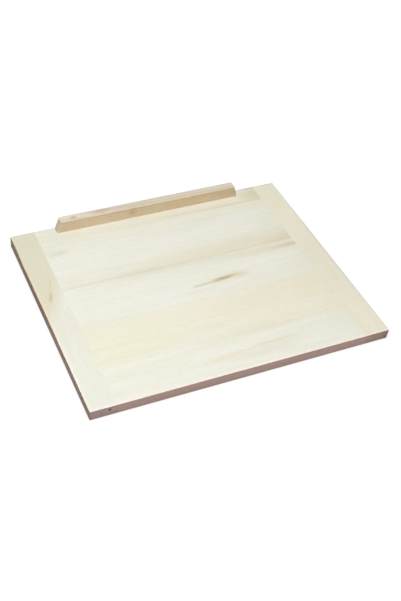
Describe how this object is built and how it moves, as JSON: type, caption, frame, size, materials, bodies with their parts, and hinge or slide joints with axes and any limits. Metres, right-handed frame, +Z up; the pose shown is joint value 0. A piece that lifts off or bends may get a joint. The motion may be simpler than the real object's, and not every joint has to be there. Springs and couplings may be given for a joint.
{
  "type": "pastry board",
  "caption": "Flat wooden board for rolling dough, made of edge-joined planks between cross-grain breadboard ends, with a raised stop bar along the back edge.",
  "frame": {"origin": "centre of the board's underside, on the surface that it lies on", "axes": "+X to the right along the long side, +Y to the back edge that carries the stop bar, +Z up out of the work face"},
  "size_m": [0.5999, 0.5, 0.045],
  "materials": {
    "panel_wood": "pale poplar, planed and sanded, unfinished",
    "end_wood": "pale poplar with darker heartwood, planed and sanded, unfinished",
    "bar_wood": "light tan hardwood, planed and sanded, unfinished",
    "screw_steel": "zinc-plated steel"
  },
  "bodies": {
    "root": {"back_plank": "panel_wood", "second_plank": "panel_wood", "centre_plank": "panel_wood", "fourth_plank": "panel_wood", "front_plank": "panel_wood", "left_breadboard_end": "end_wood", "right_breadboard_end": "end_wood", "stop_bar": "bar_wood", "bar_screw_1": "screw_steel", "bar_screw_2": "screw_steel", "bar_screw_3": "screw_steel", "bar_screw_4": "screw_steel"}
  },
  "joints": []
}
